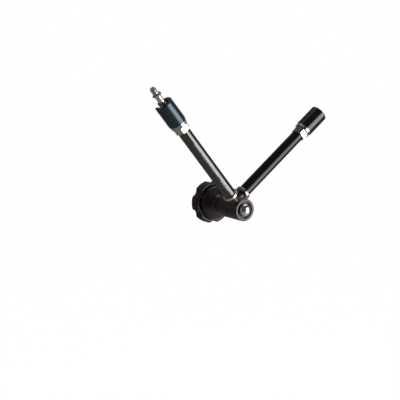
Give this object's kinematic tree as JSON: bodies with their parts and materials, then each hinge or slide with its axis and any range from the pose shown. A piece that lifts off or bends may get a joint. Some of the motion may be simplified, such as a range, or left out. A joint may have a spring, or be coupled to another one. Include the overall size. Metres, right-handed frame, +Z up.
{
  "type": "articulating friction arm",
  "caption": "Two-arm friction arm with a slotted ball joint and stud at each end and one lobed knob at the elbow that locks all three joints, posed in a V.",
  "frame": {"origin": "centre of the clamp stud spigot at its inner shoulder", "axes": "+X towards the clamp side of the V, +Y from the domed elbow nut to the knob, +Z up"},
  "size_m": [0.3789, 0.1099, 0.239],
  "materials": {
    "polished_steel": "polished",
    "chrome": "mirror",
    "spring_steel": "satin",
    "black_enamel": "gloss",
    "blue_black_enamel": "satin sheen",
    "black_tube": "satin anodised",
    "black_casting": "satin",
    "seat_bronze": "turned",
    "white_nylon": "moulded",
    "rod_steel": "ground",
    "friction_lining": "fibre",
    "brass": "turned",
    "knob_plastic": "fine texture",
    "grip_rubber": "moulded"
  },
  "bodies": {
    "clamp_stud": {"clamp_stud": "polished_steel", "clamp_stud_clip": "spring_steel"},
    "clamp_ball": {"clamp_ball": "polished_steel"},
    "clamp_head": {"clamp_head_cup": "black_enamel", "clamp_gland_ring": "chrome"},
    "lower_arm": {"lower_hex_collar": "chrome", "lower_collar_clip": "spring_steel", "lower_tube": "black_tube", "lower_guide_bushes": "white_nylon", "lower_neck_ring": "chrome", "lower_knuckle": "black_casting", "friction_disc": "friction_lining", "thrust_washer": "brass"},
    "lower_rod": {"lower_push_rod": "rod_steel", "clamp_ball_seat": "seat_bronze"},
    "axle": {"axle_bolt": "rod_steel", "spreader_cone": "rod_steel", "disc_springs": "spring_steel", "dome_nut": "chrome", "axle_stop": "spring_steel"},
    "knob": {"knob_insert": "brass", "knob_body": "knob_plastic", "knob_grip": "grip_rubber", "knob_cap": "knob_plastic"},
    "upper_arm": {"upper_knuckle": "black_casting", "upper_neck_ring": "chrome", "upper_tube": "black_tube", "upper_guide_bushes": "white_nylon", "upper_hex_collar": "chrome", "upper_collar_clip": "spring_steel"},
    "upper_rod": {"upper_push_rod": "rod_steel", "mic_ball_seat": "seat_bronze"},
    "mic_head": {"mic_head_cup": "blue_black_enamel", "mic_gland_ring": "chrome"},
    "mic_ball": {"mic_ball": "polished_steel"},
    "mic_stud": {"mic_stud": "polished_steel", "mic_stud_clip": "spring_steel"}
  },
  "joints": [
    {"name": "clamp_spin", "type": "hinge", "parent": "clamp_stud", "child": "clamp_ball", "pos_m": [-0.01169, -0.01558, 0], "axis": [0.6, 0.8, 0], "continuous": true},
    {"name": "clamp_tilt", "type": "hinge", "parent": "clamp_ball", "child": "clamp_head", "pos_m": [-0.01169, -0.01558, 0], "axis": [0.5538, -0.4153, -0.7217], "range_deg": [-73.57, 28.43]},
    {"name": "clamp_swivel", "type": "hinge", "parent": "clamp_head", "child": "lower_arm", "pos_m": [-0.01169, -0.01558, 0], "axis": [0.7934, 0, 0.6088], "continuous": true},
    {"name": "elbow", "type": "hinge", "parent": "lower_arm", "child": "upper_arm", "pos_m": [-0.18543, -0.03078, -0.13332], "axis": [0, 1, 0], "continuous": true},
    {"name": "mic_swivel", "type": "hinge", "parent": "upper_arm", "child": "mic_head", "pos_m": [-0.32473, -0.04598, 0.03567], "axis": [-0.6361, 0, 0.7716], "continuous": true},
    {"name": "mic_tilt", "type": "hinge", "parent": "mic_head", "child": "mic_ball", "pos_m": [-0.32473, -0.04598, 0.03567], "axis": [-0.6614, -0.515, -0.5452], "range_deg": [-12, 90]},
    {"name": "mic_spin", "type": "hinge", "parent": "mic_ball", "child": "mic_stud", "pos_m": [-0.32473, -0.04598, 0.03567], "axis": [-0.6361, 0, 0.7716], "continuous": true},
    {"name": "knob_turn", "type": "hinge", "parent": "lower_arm", "child": "knob", "pos_m": [-0.18543, -0.03078, -0.13332], "axis": [0, 1, 0], "range_deg": [0, 361]},
    {"name": "axle_slide", "type": "slide", "parent": "lower_arm", "child": "axle", "axis": [0, 1, 0], "range_m": [-0.0015, 0]},
    {"name": "lower_rod_slide", "type": "slide", "parent": "lower_arm", "child": "lower_rod", "axis": [0.7934, 0, 0.6088], "range_m": [-0.00055, 0]},
    {"name": "upper_rod_slide", "type": "slide", "parent": "upper_arm", "child": "upper_rod", "axis": [-0.6361, 0, 0.7716], "range_m": [-0.00055, 0]}
  ],
  "couplings": [
    {"joint": "knob_turn", "follows": "axle_slide", "rad_per_m": -4188.8},
    {"joint": "lower_rod_slide", "follows": "axle_slide", "ratio": 0.3333},
    {"joint": "upper_rod_slide", "follows": "axle_slide", "ratio": 0.3333}
  ]
}
